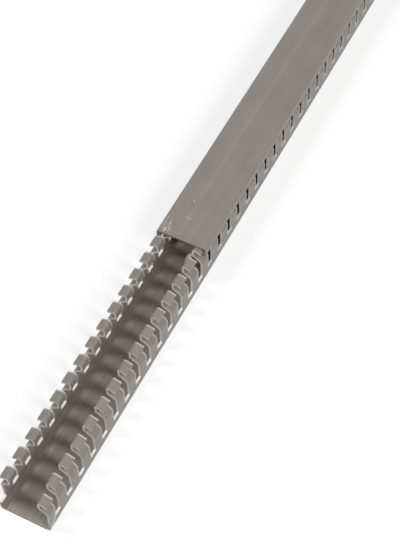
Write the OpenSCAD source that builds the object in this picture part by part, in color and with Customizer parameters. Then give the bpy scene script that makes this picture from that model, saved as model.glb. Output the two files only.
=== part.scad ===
// Slotted wire duct with its clip-over cover.
// Two extrusions of rigid PVC: a U-shaped channel whose side walls are punched
// into a comb of hooked fingers, and a flat cover whose inward lips run in the
// grooves under the hooks. Units: mm.
// X runs across the duct, Y runs along it, Z points up from the mounting face.
// The origin is the middle of the channel's underside.

/* [Channel] */
// Length of the channel as sold
body_l = 1000; // [250:125:2000]
// Width across the outside of the two side walls
body_w = 30; // [26:1:60]
// Height from the underside to the crown of the finger hooks
body_h = 28.4; // [26:0.2:60]
// Thickness of the base, walls and hooks
wall_t = 1.4; // [1.2:0.1:1.6]
// Outside radius where the base turns up into a wall
corner_r = 1.8; // [1.6:0.1:2.4]

/* [Comb] */
// Distance from one slot to the next, one finger and one slot
slot_pitch = 12.5; // [12.5, 15, 20, 25]
// Width of a slot
slot_w = 5; // [4:0.25:6]
// Height of a slot's floor above the underside
slot_floor = 6.7; // [5:0.1:9]
// From the near cut end to the middle of the right wall's first slot
first_right = 9; // [8:0.25:10]
// From the near cut end to the middle of the left wall's first slot
first_left = 2.25; // [1.5:0.25:3]

/* [Finger hooks] */
// How far the hooks reach in from the outside of the wall
hook_d = 6.8; // [6:0.1:7.2]
// Height of the hook, from the start of the bend to the crown
hook_h = 11; // [10.7:0.1:13]
// Outside radius of the bend from wall to shoulder
bend_r = 4; // [3.4:0.1:4.4]
// Inside radius of the two tight folds of the hook
fold_r = 0.2; // [0.2:0.1:0.6]
// How far the flange's tip stays inside the outside of the wall
tip_inset = 0.9; // [0.7:0.1:1.1]

/* [Cover] */
// Thickness of the cover's top and legs
cover_t = 1.2; // [1:0.1:1.5]
// Outside radius of the cover's two long edges
cover_r = 1.5; // [1.5:0.1:2]
// Radius of the rounded lip at the foot of each leg
lip_r = 1.25; // [1.2:0.05:1.4]
// Free play between a leg and the flange tips beside it
side_play = 0.4; // [0.3:0.1:0.5]
// Free play over the crowns and under the flange tips
lift_play = 0.3; // [0.2:0.05:0.4]
// How far the cover is drawn back from the near end
drawn_back = 176.6; // [0:0.2:400]

/* [Hidden] */
$fn = 64;

near_y = -body_l / 2;
far_y = body_l / 2;
mid_t = wall_t / 2;

// Slopes of the hook. Their sines and cosines are short decimals, so that the
// turned frames keep their size and each run meets its turn exactly.
shoulder_rise = atan2(336, 527);
flange_fall = atan2(44, 117);

// the channel's section, followed along its centre line
base_run = body_w / 2 - corner_r;
corner_c = corner_r - mid_t;
bend_c = bend_r - mid_t;
fold_c = fold_r + mid_t;
bend_z = body_h - hook_h;
wall_run = bend_z - corner_r;
shoulder_x = body_w / 2 - bend_r + bend_c * sin(shoulder_rise);
shoulder_z = bend_z + bend_c * cos(shoulder_rise);
web_x = body_w / 2 - hook_d + mid_t;
fold_x = web_x + fold_c;
shoulder_run = (shoulder_x + fold_c * sin(shoulder_rise) - fold_x) / cos(shoulder_rise);
web_z = shoulder_z + shoulder_run * sin(shoulder_rise) + fold_c * cos(shoulder_rise);
web_run = body_h - mid_t - fold_c - web_z;
tip_x = body_w / 2 - tip_inset - mid_t;
flange_run = (tip_x - fold_x - fold_c * sin(flange_fall)) / cos(flange_fall);
tip_z = body_h - mid_t - fold_c * (1 - cos(flange_fall)) - flange_run * sin(flange_fall);

// slots down the whole length; a finger cut thinner than this is gone
cut_x = web_x - wall_t;
least_finger = 2 * wall_t;
right_n = floor((body_l - first_right) / slot_pitch) + 1;
left_n = floor((body_l - first_left) / slot_pitch) + 1;

// cover, seated on the hooks
leg_in = tip_x + mid_t + side_play;
cover_w = 2 * (leg_in + cover_t);
cover_under = body_h + lift_play;
cover_run = cover_w / 2 - cover_r;
lip_z = tip_z - mid_t - lift_play - lip_r;
leg_run = cover_under + cover_t - cover_r - lip_z;

// A section is drawn like a bent strip: each run or turn carries what follows
// it to its own far end. Runs head along +X with the centre line on the axis.

// a straight run of thickness t
module run(t, long) {
  translate([0, -t / 2])
    square([long, t]);
  translate([long, 0])
    children();
}

// a turn to the left through less than half a circle, r at the centre line
module left(t, r, angle) {
  far = 4 * (r + t);
  translate([0, r]) {
    intersection() {
      difference() {
        circle(r + t / 2);
        circle(r - t / 2);
      }
      translate([0, -far])
        square([far, 2 * far]);
      rotate(angle)
        translate([-far, -far])
          square([far, 2 * far]);
    }
    rotate(angle)
      translate([0, -r])
        children();
  }
}

// the same turn to the right
module right(t, r, angle) {
  mirror([0, 1])
    left(t, r, angle)
      mirror([0, 1])
        children();
}

// pushes a section out along the duct, from y on for the whole length
module extruded(y) {
  translate([0, y + body_l, 0])
    rotate([90, 0, 0])
      linear_extrude(body_l)
        children();
}

// the right half of the channel: base, wall, shoulder, web, flange and tip
module half_channel() {
  translate([0, mid_t])
    run(wall_t, base_run)
      left(wall_t, corner_c, 90)
        run(wall_t, wall_run)
          left(wall_t, bend_c, 90 - shoulder_rise)
            run(wall_t, shoulder_run)
              right(wall_t, fold_c, 90 - shoulder_rise)
                run(wall_t, web_run)
                  right(wall_t, fold_c, 90 + flange_fall)
                    run(wall_t, flange_run)
                      circle(mid_t);
}

// one punched slot, from its floor out through the hook
module slot(middle) {
  from = middle - slot_w / 2;
  to = middle + slot_w / 2;
  start = from < near_y + least_finger ? near_y - wall_t : from;
  end = to > far_y - least_finger ? far_y + wall_t : to;
  translate([cut_x, start, slot_floor])
    cube([body_w, end - start, body_h]);
}

module slotted_channel() {
  color([0.55, 0.51, 0.48])
    difference() {
      extruded(near_y) {
        half_channel();
        mirror([1, 0]) half_channel();
      }
      for (i = [0 : right_n - 1])
        slot(near_y + first_right + i * slot_pitch);
      mirror([1, 0, 0])
        for (i = [0 : left_n - 1])
          slot(near_y + first_left + i * slot_pitch);
    }
}

// the right half of the cover: top, rounded edge, leg and the lip at its foot
module half_cover() {
  translate([0, cover_under + cover_t / 2])
    run(cover_t, cover_run)
      right(cover_t, cover_r - cover_t / 2, 90)
        run(cover_t, leg_run)
          translate([0, cover_t / 2 - lip_r])
            circle(lip_r);
}

module snap_cover() {
  color([0.54, 0.50, 0.47])
    extruded(near_y + drawn_back) {
      half_cover();
      mirror([1, 0]) half_cover();
    }
}

slotted_channel();
snap_cover();
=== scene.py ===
import math

import bmesh
import bpy
from mathutils import Matrix, Vector


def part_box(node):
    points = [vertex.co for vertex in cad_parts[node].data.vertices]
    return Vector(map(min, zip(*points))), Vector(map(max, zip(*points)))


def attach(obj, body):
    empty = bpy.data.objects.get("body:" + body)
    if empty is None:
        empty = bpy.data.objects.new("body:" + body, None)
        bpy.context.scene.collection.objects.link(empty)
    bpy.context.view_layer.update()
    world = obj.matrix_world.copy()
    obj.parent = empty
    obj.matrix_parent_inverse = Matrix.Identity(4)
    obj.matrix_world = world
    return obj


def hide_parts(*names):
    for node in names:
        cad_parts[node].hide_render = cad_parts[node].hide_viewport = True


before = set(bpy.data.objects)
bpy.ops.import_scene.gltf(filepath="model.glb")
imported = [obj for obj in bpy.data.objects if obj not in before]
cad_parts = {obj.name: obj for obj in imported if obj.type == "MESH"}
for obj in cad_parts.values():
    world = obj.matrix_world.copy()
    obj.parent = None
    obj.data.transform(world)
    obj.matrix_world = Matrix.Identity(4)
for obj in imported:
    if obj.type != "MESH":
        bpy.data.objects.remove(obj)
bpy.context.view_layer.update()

scene = bpy.context.scene
scene.view_settings.view_transform = "Standard"

# ---------------------------------------------------------------------------
# The slotted channel: one length of rigid PVC, extruded as a U and punched
# into a comb of hooked fingers. With the cover drawn back the left fingers
# spring out a little, and the first one on the right is strained at its root.
# ---------------------------------------------------------------------------
mm = 0.001
near_end, far_end = -500.0 * mm, 500.0 * mm
half_width = 15.0 * mm
height = 28.4 * mm
wall = 1.4 * mm
wall_x = half_width - 0.5 * wall

# the comb: each wall's slots follow its first one, which starts at first_right or first_left
slots = 80
pitch = 12.5 * mm
slot_width = 5.0 * mm
slot_floor = 6.7 * mm
first_right = near_end + 6.5 * mm
first_left = near_end - 0.25 * mm

# the section's turns, with their radii at the middle of the wall
base_corner = 1.1 * mm
wall_bend = 3.3 * mm
fold = 0.9 * mm
bend_start = 17.4 * mm
hook_depth = 6.8 * mm
flange_inset = 1.15 * mm
shoulder_rise = math.atan2(336, 527)
flange_fall = math.atan2(44, 117)
right_angle = math.pi / 2


def follow(moves):
    """The centre line of a bent strip, (x, z): each move is a run or a turn, cut into steps."""
    x, z, heading = 0.0, 0.5 * wall, 0.0
    line = [(x, z)]
    for length, angle, steps in moves:
        for _ in range(steps):
            if angle:
                radius = length * math.copysign(1.0, angle)
                step = angle / steps
                x += radius * (math.sin(heading + step) - math.sin(heading))
                z -= radius * (math.cos(heading + step) - math.cos(heading))
                heading += step
            else:
                x += length / steps * math.cos(heading)
                z += length / steps * math.sin(heading)
            line.append((x, z))
    return line


fold_x = half_width - hook_depth + 0.5 * wall + fold
shoulder_x = wall_x - wall_bend * (1 - math.sin(shoulder_rise))
shoulder_z = bend_start + wall_bend * math.cos(shoulder_rise)
shoulder = (shoulder_x + fold * math.sin(shoulder_rise) - fold_x) / math.cos(shoulder_rise)
web_foot = shoulder_z + shoulder * math.sin(shoulder_rise) + fold * math.cos(shoulder_rise)
web = height - 0.5 * wall - fold - web_foot
tip_x = half_width - flange_inset
flange = (tip_x - fold_x - fold * math.sin(flange_fall)) / math.cos(flange_fall)
half_line = follow([
    (wall_x - base_corner, 0.0, 3),
    (base_corner, right_angle, 6),
    (slot_floor - base_corner - 0.5 * wall, 0.0, 3),
    (bend_start - slot_floor, 0.0, 5),
    (wall_bend, right_angle - shoulder_rise, 7),
    (shoulder, 0.0, 2),
    (fold, shoulder_rise - right_angle, 5),
    (web, 0.0, 2),
    (fold, -right_angle - flange_fall, 7),
    (flange, 0.0, 2),
])
section = [(-x, z) for x, z in reversed(half_line)] + half_line[1:]

# the sheet is divided at both sides of every slot, and more finely along the first finger's root
root_step = 1.3 * mm
least_step = 0.1 * mm
stations = {near_end, far_end}
for first in (first_right, first_left):
    for i in range(slots):
        stations |= {round(first + i * pitch, 6), round(first + i * pitch + slot_width, 6)}
stations |= {near_end + step * root_step for step in range(1, 5)}
stations = sorted(y for y in stations if near_end <= y <= far_end)
stations = [y for i, y in enumerate(stations) if i == 0 or y - stations[i - 1] > least_step]


def punched(face):
    """Whether a face of the sheet is in a slot, or in the sliver past the right wall's last one."""
    x, y, z = face.calc_center_median()
    first = first_right if x > 0 else first_left
    slot = math.floor((y - first) / pitch)
    in_slot = y - first - slot * pitch < slot_width and 0 <= slot < slots
    past_last = x > 0 and y > first + (slots - 1) * pitch + slot_width
    return z > slot_floor and (in_slot or past_last)


# how far the fingers lean outwards, in degrees
lean_left = 3.3
lean_first = 3.6
unevenness = 0.35
# the unevenness is a sine that turns by these angles from finger to finger and from side to side
finger_turn, side_turn = 12.9898, 4.1
# the left fingers lean over this length, and each takes up its lean within this height
open_length = 176.0 * mm
hinge = 3.0 * mm
# the first right finger bends along a crease, which falls from the slot's floor to this height
crease_foot = 1.0 * mm


def eased(value):
    """0 below 0, 1 above 1, and smooth between."""
    value = min(max(value, 0.0), 1.0)
    return value * value * (3 - 2 * value)


def lean(co):
    """Where a point of the walls goes once the fingers have sprung out."""
    side = 1.0 if co.x > 0 else -1.0
    first = first_right if side > 0 else first_left
    finger = math.floor((co.y - first - slot_width) / pitch + 1.0e-4)
    angle = unevenness * math.sin(finger_turn * finger + side_turn * side)
    root = slot_floor
    if side < 0 and co.y < near_end + open_length:
        angle += lean_left
    if side > 0 and co.y < first_right + least_step:
        angle = lean_first
        root = crease_foot + (slot_floor - crease_foot) * (co.y - near_end) / (first_right - near_end)
    if co.z <= root:
        return co
    arm_x, arm_z = abs(co.x) - wall_x, co.z - root
    turn = math.radians(angle) * eased(arm_z / hinge)
    return Vector((
        side * (wall_x + arm_x * math.cos(turn) + arm_z * math.sin(turn)),
        co.y,
        root + arm_z * math.cos(turn) - arm_x * math.sin(turn),
    ))


def new_piece(name, shape):
    """A piece made from a bmesh, shaded smooth."""
    for face in shape.faces:
        face.smooth = True
    mesh = bpy.data.meshes.new(name)
    shape.to_mesh(mesh)
    shape.free()
    piece = bpy.data.objects.new(name, mesh)
    scene.collection.objects.link(piece)
    return piece


def modify(piece, name, kind, **settings):
    """Adds a modifier to a piece."""
    modifier = piece.modifiers.new(name, kind)
    for setting, value in settings.items():
        setattr(modifier, setting, value)


sheet = bmesh.new()
across, lengthwise = len(section) - 1, len(stations) - 1
bmesh.ops.create_grid(sheet, x_segments=across, y_segments=lengthwise, size=0.5)
for vert in sheet.verts:
    x, z = section[round((vert.co.x + 0.5) * across)]
    vert.co = (x, stations[round((vert.co.y + 0.5) * lengthwise)], z)
bmesh.ops.delete(sheet, geom=[face for face in sheet.faces if punched(face)], context="FACES")
for vert in sheet.verts:
    vert.co = lean(vert.co)

channel = new_piece("channel_strip", sheet)
modify(channel, "wall", "SOLIDIFY", thickness=wall, offset=0.0, use_even_offset=True)
modify(
    channel, "cut_edges", "BEVEL", width=0.14 * mm, segments=1,
    limit_method="ANGLE", angle_limit=math.radians(40), harden_normals=True,
)
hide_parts("slotted_channel")
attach(channel, "channel")

pvc_dark = (0.232, 0.203, 0.181)
pvc_mid = (0.268, 0.236, 0.211)
pvc_light = (0.310, 0.276, 0.249)
punched_white = (0.86, 0.82, 0.78)
# the grey of the sawn ends, also used as painted shade low on the channel's sawn ends
sawn_grey_and_shade = (0.30, 0.27, 0.245)
# the white of strained plastic, also used for painted highlights along cut edges
strain_white_and_highlight = (0.80, 0.77, 0.74)


def connect(tree, socket, value):
    """Sets a socket to a value, or links it where the value is another node's socket."""
    if isinstance(value, bpy.types.NodeSocket):
        tree.links.new(value, socket)
    elif socket.type == "RGBA":
        socket.default_value = (*value, 1.0)
    else:
        socket.default_value = value


def node_of(tree, kind, **inputs):
    """One node of a material, its sockets set by name."""
    node = tree.nodes.new(kind)
    for name, value in inputs.items():
        connect(tree, node.inputs[name.replace("_", " ")], value)
    return node


def calc(tree, operation, *values):
    """One step of arithmetic in a material."""
    node = tree.nodes.new("ShaderNodeMath")
    node.operation = operation
    for socket, value in zip(node.inputs, values):
        connect(tree, socket, value)
    return node.outputs[0]


def product(tree, share, *others):
    """Several shares multiplied together."""
    for other in others:
        share = calc(tree, "MULTIPLY", share, other)
    return share


def most(tree, share, *others):
    """The greatest of several shares."""
    for other in others:
        share = calc(tree, "MAXIMUM", share, other)
    return share


def gap(tree, value, mark):
    """How far a value is from a mark, either way."""
    return calc(tree, "ABSOLUTE", calc(tree, "SUBTRACT", value, mark))


def ramp(tree, value, low, high):
    """A smooth step from 0 at low to 1 at high."""
    node = tree.nodes.new("ShaderNodeMapRange")
    node.interpolation_type = "SMOOTHSTEP"
    connect(tree, node.inputs["Value"], value)
    node.inputs["From Min"].default_value = low
    node.inputs["From Max"].default_value = high
    return node.outputs["Result"]


def fade(tree, value, low, high):
    """A smooth step from 1 at low to 0 at high."""
    return calc(tree, "SUBTRACT", 1.0, ramp(tree, value, low, high))


def tint(tree, share, under, over):
    """The colour over laid on the colour under, by share."""
    node = tree.nodes.new("ShaderNodeMix")
    node.data_type = "RGBA"
    connect(tree, node.inputs[0], share)
    connect(tree, node.inputs[6], under)
    connect(tree, node.inputs[7], over)
    return node.outputs[2]


def scaled(tree, place, scale):
    """A place counted in turns a metre along X, Y and Z."""
    return node_of(tree, "ShaderNodeMapping", Vector=place, Scale=scale).outputs[0]


def noise(tree, place, scale, detail):
    """Noise with its own fineness along X, Y and Z, in turns a metre."""
    place = scaled(tree, place, scale)
    return node_of(tree, "ShaderNodeTexNoise", Vector=place, Scale=1.0, Detail=detail).outputs["Fac"]


def split(tree, vector):
    """The X, Y and Z of a vector in a material."""
    return node_of(tree, "ShaderNodeSeparateXYZ", Vector=vector).outputs


def looks_along(tree, part):
    """1 where a face looks along an axis, from that axis's part of its normal."""
    return ramp(tree, part, 0.50, 0.75)


def extruded_pvc(name, marks):
    """Rigid PVC as it leaves the die: lengthwise lines, a soft mottle and a fine grain.

    marks(tree, spot, place, facing) gives the share of cut face, the share of sawn grey
    and painted shade in that, and the share of whitened plastic and painted highlight,
    for this piece's cuts, knocks and lit edges.
    """
    material = bpy.data.materials.new(name)
    material.use_nodes = True
    tree = material.node_tree
    tree.nodes.clear()
    texture = tree.nodes.new("ShaderNodeTexCoord")
    spot = texture.outputs["Object"]
    place, facing = split(tree, spot), split(tree, texture.outputs["Normal"])

    lines = noise(tree, spot, (1500.0, 5.0, 1500.0), 3.0)
    bands = noise(tree, spot, (260.0, 2.5, 260.0), 2.0)
    mottle = noise(tree, spot, (90.0, 60.0, 90.0), 4.0)
    grain = noise(tree, spot, (2600.0, 2600.0, 2600.0), 2.0)
    weight = calc(tree, "MULTIPLY", lines, 0.34)
    for pattern, share in ((bands, 0.26), (mottle, 0.22), (grain, 0.18)):
        weight = calc(tree, "MULTIPLY_ADD", pattern, share, weight)
    body = tint(tree, ramp(tree, weight, 0.38, 0.50), pvc_dark, pvc_mid)
    body = tint(tree, ramp(tree, weight, 0.50, 0.62), body, pvc_light)

    cut, sawn_and_shade, white = marks(tree, spot, place, facing)
    colour = tint(tree, cut, body, tint(tree, sawn_and_shade, punched_white, sawn_grey_and_shade))
    # real whitening and painted highlights are laid on in one white
    colour = tint(tree, white, colour, strain_white_and_highlight)

    relief = calc(tree, "MULTIPLY_ADD", grain, 0.4, calc(tree, "MULTIPLY", lines, 0.6))
    bump = node_of(tree, "ShaderNodeBump", Strength=0.3, Distance=0.05 * mm, Height=relief)
    rough = calc(tree, "MULTIPLY_ADD", mottle, 0.20, 0.33)
    rough = calc(tree, "MULTIPLY_ADD", cut, 0.20, rough)
    plastic = node_of(
        tree, "ShaderNodeBsdfPrincipled",
        Base_Color=colour, Roughness=rough, Normal=bump.outputs[0], IOR=1.53,
    )
    node_of(tree, "ShaderNodeOutputMaterial", Surface=plastic.outputs[0])
    return material


# marks on the walls lie outside wall_zone, and marks on the base lie below base_zone
wall_zone = 13.0 * mm
base_zone = 1.6 * mm


def far_edge_highlight(tree, place, rag):
    """A painted highlight along each finger's far cut edge, where the rolled-over edge catches the light."""
    x, y, z = place
    start = tree.nodes.new("ShaderNodeMix")
    connect(tree, start.inputs[0], calc(tree, "GREATER_THAN", x, 0.0))
    connect(tree, start.inputs[2], first_left)
    connect(tree, start.inputs[3], first_right)
    turns = calc(tree, "FRACT", calc(tree, "DIVIDE", calc(tree, "SUBTRACT", y, start.outputs[0]), pitch))
    to_far_cut = calc(tree, "MULTIPLY", calc(tree, "SUBTRACT", 1.0, turns), pitch)
    margin = fade(tree, calc(tree, "MULTIPLY_ADD", rag, -0.5 * mm, to_far_cut), 0.15 * mm, 0.95 * mm)
    return product(tree, margin, calc(tree, "GREATER_THAN", z, slot_floor), 0.65)


def strained_root(tree, place, rag):
    """The ragged white crease under the first right finger, and the crumbs at its foot."""
    x, y, z = place
    slope = (slot_floor - crease_foot) / (first_right - near_end)
    ragged = 0.9 * mm
    line = calc(tree, "MULTIPLY_ADD", calc(tree, "SUBTRACT", y, near_end), slope, crease_foot)
    line = calc(tree, "MULTIPLY_ADD", rag, ragged, calc(tree, "SUBTRACT", line, 0.5 * ragged))
    crease = product(
        tree, fade(tree, gap(tree, z, line), 0.7 * mm, 1.25 * mm),
        calc(tree, "GREATER_THAN", x, wall_zone), calc(tree, "LESS_THAN", y, first_right),
    )
    crumbs = product(
        tree, ramp(tree, rag, 0.50, 0.58), fade(tree, y, near_end + 1.0 * mm, near_end + 2.6 * mm),
        calc(tree, "GREATER_THAN", x, wall_zone + 0.5 * mm), fade(tree, z, 4.0 * mm, slot_floor + 0.3 * mm),
    )
    return product(tree, most(tree, crease, crumbs), 0.95)


def base_scrapes(tree, spot, place, facing):
    """Fine lengthwise scrapes on the left of the base, which fade out under the cover."""
    x, y, z = place
    scraped_x = -9.0 * mm
    return product(
        tree, ramp(tree, noise(tree, spot, (1300.0, 45.0, 1300.0), 4.0), 0.52, 0.70),
        calc(tree, "LESS_THAN", z, base_zone), looks_along(tree, facing[2]),
        fade(tree, gap(tree, x, scraped_x), 1.0 * mm, 5.0 * mm),
        fade(tree, y, near_end + 30.0 * mm, near_end + 190.0 * mm), 0.34,
    )


def channel_marks(tree, spot, place, facing):
    """White punched faces and slot floors, sawn ends greyed low down by painted shade, real whitening, and a
    painted highlight along the far cuts.
    """
    x, y, z = place
    side_cut = looks_along(tree, calc(tree, "ABSOLUTE", facing[1]))
    floor_cut = product(
        tree, calc(tree, "COMPARE", z, slot_floor, 0.16 * mm),
        calc(tree, "GREATER_THAN", calc(tree, "ABSOLUTE", x), wall_zone), looks_along(tree, facing[2]),
    )
    # the sawn ends are painted greyer low down: painted shade towards the floor
    sawn_and_shade = product(
        tree, calc(tree, "GREATER_THAN", calc(tree, "ABSOLUTE", y), far_end - 0.4 * mm),
        calc(tree, "MULTIPLY_ADD", ramp(tree, z, 4.0 * mm, 12.0 * mm), -0.85, 1.0),
    )
    rag = noise(tree, spot, (1700.0, 900.0, 1700.0), 2.0)
    # the far cuts get a painted highlight, laid on together with the real whitening of the crease and the
    # scrapes
    white = most(
        tree, far_edge_highlight(tree, place, rag), strained_root(tree, place, rag),
        base_scrapes(tree, spot, place, facing),
    )
    return most(tree, side_cut, floor_cut), sawn_and_shade, white


channel.data.materials.append(extruded_pvc("channel_plastic", channel_marks))

# ---------------------------------------------------------------------------
# A shaving of the same PVC that the punch left standing in one slot, where
# the cover now ends. It bows inwards from one finger's web to the next.
# ---------------------------------------------------------------------------
shaving_knots = [Vector(point) * mm for point in (
    (9.0, -323.6, 23.2), (6.6, -325.8, 24.2), (5.3, -328.6, 24.4), (5.9, -331.4, 23.6), (7.8, -333.4, 22.8),
)]
shaving_steps = 14
shaving_width = Vector((2.7, 0.3, 0.9)) * mm
shaving_thickness = 0.7 * mm


def along(knots, share):
    """A point of the smooth curve that the knots pull into shape."""
    while len(knots) > 1:
        knots = [a.lerp(b, share) for a, b in zip(knots, knots[1:])]
    return knots[0]


ribbon = bmesh.new()
foot = [ribbon.verts.new(along(shaving_knots, i / shaving_steps)) for i in range(shaving_steps + 1)]
rail = [ribbon.edges.new(pair) for pair in zip(foot, foot[1:])]
made = bmesh.ops.extrude_edge_only(ribbon, edges=rail)
moved = [item for item in made["geom"] if isinstance(item, bmesh.types.BMVert)]
bmesh.ops.translate(ribbon, verts=moved, vec=shaving_width)

shaving = new_piece("punch_shaving", ribbon)
modify(shaving, "thickness", "SOLIDIFY", thickness=shaving_thickness, offset=0.0)
modify(
    shaving, "torn_edges", "BEVEL", width=0.2 * mm, segments=2,
    limit_method="ANGLE", angle_limit=math.radians(50),
)
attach(shaving, "channel")


def shaving_marks(tree, spot, place, facing):
    """A shaving is whitened all through."""
    pale = ramp(tree, noise(tree, spot, (700.0, 500.0, 700.0), 2.0), 0.2, 0.8)
    return product(tree, pale, 0.25), 0.0, product(tree, pale, 0.22)


shaving.data.materials.append(extruded_pvc("shaving_plastic", shaving_marks))

# ---------------------------------------------------------------------------
# The cover: a flat strip of the same PVC with two short legs, extruded in one
# piece and pushed over the fingers. It was sawn across at its ends, and its
# near left corner is scuffed.
# ---------------------------------------------------------------------------
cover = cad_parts["snap_cover"]
cover_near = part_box("snap_cover")[0].y

# each mark has its start and end, its width, all in mm, and how white it is
# scuffs run lengthwise, from and to (x, distance from the near end)
scuffs = (
    ((-13.8, 2.6), (-13.6, 13.4), 0.42, 0.55),
    ((-12.9, 1.0), (-12.6, 9.0), 0.36, 0.45),
    ((-9.4, 1.0), (-10.1, 8.6), 0.42, 0.90),
    ((-10.8, 3.6), (-11.2, 11.6), 0.38, 0.80),
    ((-11.7, 0.7), (-11.3, 4.4), 0.95, 1.0),
    ((-8.2, 0.6), (-8.6, 5.5), 0.30, 0.40),
)
# knocks run across, from and to (distance from the near end, x)
knocks = (
    ((15.6, -4.9), (15.2, -0.7), 0.30, 0.42),
    ((27.9, -6.25), (27.9, -5.15), 0.50, 0.70),
    ((32.8, 9.05), (32.8, 9.8), 0.34, 0.55),
)


def streak(tree, a, b, start, end, width):
    """A scratch from start to end that runs mostly along b, on coordinates (a, b)."""
    (a0, b0), (a1, b1) = start, end
    slope = (a1 - a0) / (b1 - b0)
    line = calc(tree, "MULTIPLY_ADD", calc(tree, "SUBTRACT", b, b0 * mm), slope, a0 * mm)
    half, middle = abs(b1 - b0) / 2, (b0 + b1) / 2
    return product(
        tree, fade(tree, gap(tree, a, line), 0.3 * width * mm, width * mm),
        fade(tree, gap(tree, b, middle * mm), 0.6 * half * mm, half * mm),
    )


def specks(tree, spot):
    """A few pale dots, scattered over the whole length."""
    cells = node_of(tree, "ShaderNodeTexVoronoi", Vector=scaled(tree, spot, (110.0, 70.0, 110.0)), Scale=1.0)
    chosen = calc(tree, "GREATER_THAN", split(tree, cells.outputs["Color"])[0], 0.88)
    return product(tree, fade(tree, cells.outputs["Distance"], 0.015, 0.05), chosen, 0.3)


def cover_marks(tree, spot, place, facing):
    """Sawn ends, scuffs at the near left corner, knocks and specks on the top, and a painted highlight along
    its near edge.
    """
    x = place[0]
    from_end = calc(tree, "SUBTRACT", place[1], cover_near)
    broken = ramp(tree, noise(tree, spot, (2200.0, 500.0, 800.0), 3.0), 0.35, 0.62)
    scuffed = [product(tree, streak(tree, x, from_end, *line), share) for *line, share in scuffs]
    knocked = [product(tree, streak(tree, from_end, x, *line), share) for *line, share in knocks]
    # a painted highlight along the near edge of the top, mixed in with the real scuffs, knocks and specks
    near_edge_highlight = product(tree, fade(tree, from_end, 0.05 * mm, 0.5 * mm), 0.16)
    white = most(tree, product(tree, most(tree, *scuffed), broken), *knocked, specks(tree, spot), near_edge_highlight)
    end_face = looks_along(tree, calc(tree, "ABSOLUTE", facing[1]))
    return product(tree, end_face, 0.15), 1.0, product(tree, white, ramp(tree, facing[2], 0.8, 0.95))


cover.material_slots[0].material = extruded_pvc("cover_plastic", cover_marks)

# ---------------------------------------------------------------------------
# The room: a plain pale floor, a strong soft lamp high on the right, a weaker
# one high on the left, and a faint fill all round.
# ---------------------------------------------------------------------------
shape = bmesh.new()
bmesh.ops.create_grid(shape, x_segments=1, y_segments=1, size=6.0)
floor = new_piece("pale_floor", shape)

floor_grey = (0.42, 0.42, 0.42)
floor_glow = 0.69
fill_grey = (0.06, 0.06, 0.06)
plain_white = (1.0, 1.0, 1.0)


def seen_white(tree):
    """1 for rays from the camera, gloss and glass, which see the room white."""
    rays = tree.nodes.new("ShaderNodeLightPath").outputs
    return most(tree, rays["Is Camera Ray"], rays["Is Glossy Ray"], rays["Is Transmission Ray"])


floor_paint = bpy.data.materials.new("pale_floor_paint")
floor_paint.use_nodes = True
tree = floor_paint.node_tree
tree.nodes.clear()
matt = node_of(tree, "ShaderNodeBsdfDiffuse", Color=floor_grey)
strength = product(tree, seen_white(tree), floor_glow)
glow = node_of(tree, "ShaderNodeEmission", Color=plain_white, Strength=strength)
both = tree.nodes.new("ShaderNodeAddShader")
connect(tree, both.inputs[0], matt.outputs[0])
connect(tree, both.inputs[1], glow.outputs[0])
node_of(tree, "ShaderNodeOutputMaterial", Surface=both.outputs[0])
floor.data.materials.append(floor_paint)

world = bpy.data.worlds.new("pale_room")
scene.world = world
world.use_nodes = True
tree = world.node_tree
tree.nodes.clear()
fill = node_of(tree, "ShaderNodeBackground", Color=fill_grey)
white = node_of(tree, "ShaderNodeBackground", Color=plain_white)
either = tree.nodes.new("ShaderNodeMixShader")
connect(tree, either.inputs[0], seen_white(tree))
connect(tree, either.inputs[1], fill.outputs[0])
connect(tree, either.inputs[2], white.outputs[0])
node_of(tree, "ShaderNodeOutputWorld", Surface=either.outputs[0])

lamp_size = 0.8
lamp_aim = Vector((0.0, -0.3, 0.0))


def soft_lamp(name, place, power):
    """A broad square lamp that looks at the near half of the duct."""
    light = bpy.data.lights.new(name, "AREA")
    light.shape = "SQUARE"
    light.size = lamp_size
    light.energy = power
    lamp = bpy.data.objects.new(name, light)
    turned = (Vector(place) - lamp_aim).to_track_quat("Z", "Y").to_matrix().to_4x4()
    lamp.matrix_world = Matrix.Translation(place) @ turned
    scene.collection.objects.link(lamp)


soft_lamp("right_lamp", (1.4, -1.0, 1.45), 30.0)
soft_lamp("left_lamp", (-1.05, -0.6, 1.85), 20.0)

# ---------------------------------------------------------------------------
# The camera stands in front of the duct's near end, a little to its right,
# and looks steeply down along it.
# ---------------------------------------------------------------------------
camera_place = Vector((0.22987, -0.74144, 0.68759))
view_right = Vector((0.891749, 0.452466, -0.007622))
view_ahead = Vector((-0.263361, 0.505203, -0.821834))
view_up = view_right.cross(view_ahead)
lens = bpy.data.cameras.new("camera")
lens.sensor_fit = "VERTICAL"
lens.sensor_height = 36.0
lens.lens = 95.93
lens.clip_start = 0.01
camera = bpy.data.objects.new("camera", lens)
turned = Matrix((view_right, view_up, -view_ahead)).transposed().to_4x4()
camera.matrix_world = Matrix.Translation(camera_place) @ turned
scene.collection.objects.link(camera)
scene.camera = camera
